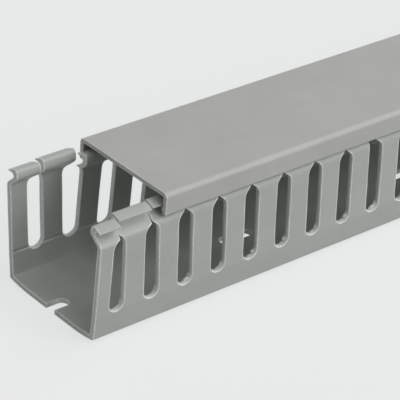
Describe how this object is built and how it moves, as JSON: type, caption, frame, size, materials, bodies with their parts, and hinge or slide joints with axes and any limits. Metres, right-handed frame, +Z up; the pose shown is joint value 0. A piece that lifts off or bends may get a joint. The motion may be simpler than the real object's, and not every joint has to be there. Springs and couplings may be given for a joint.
{
  "type": "slotted wire duct",
  "caption": "Slotted cable duct with hooked fingers along both walls and a clip-on lid set back from its open end.",
  "frame": {"origin": "on the base's underside, in the middle of its width and midway between the two middle fixing slots", "axes": "+X along the duct away from the open end, +Y across it to the far wall, +Z up from the mounting face to the lid"},
  "size_m": [0.524, 0.0445, 0.041],
  "materials": {
    "trough_pvc": "satin grey extruded PVC",
    "lid_pvc": "satin grey extruded PVC"
  },
  "bodies": {
    "trough": {"slotted_trough": "trough_pvc"},
    "lid": {"clip_on_lid": "lid_pvc"}
  },
  "joints": [
    {"name": "lid_slide", "type": "slide", "parent": "trough", "child": "lid", "axis": [1, 0, 0], "range_m": [0, 0.5]}
  ]
}
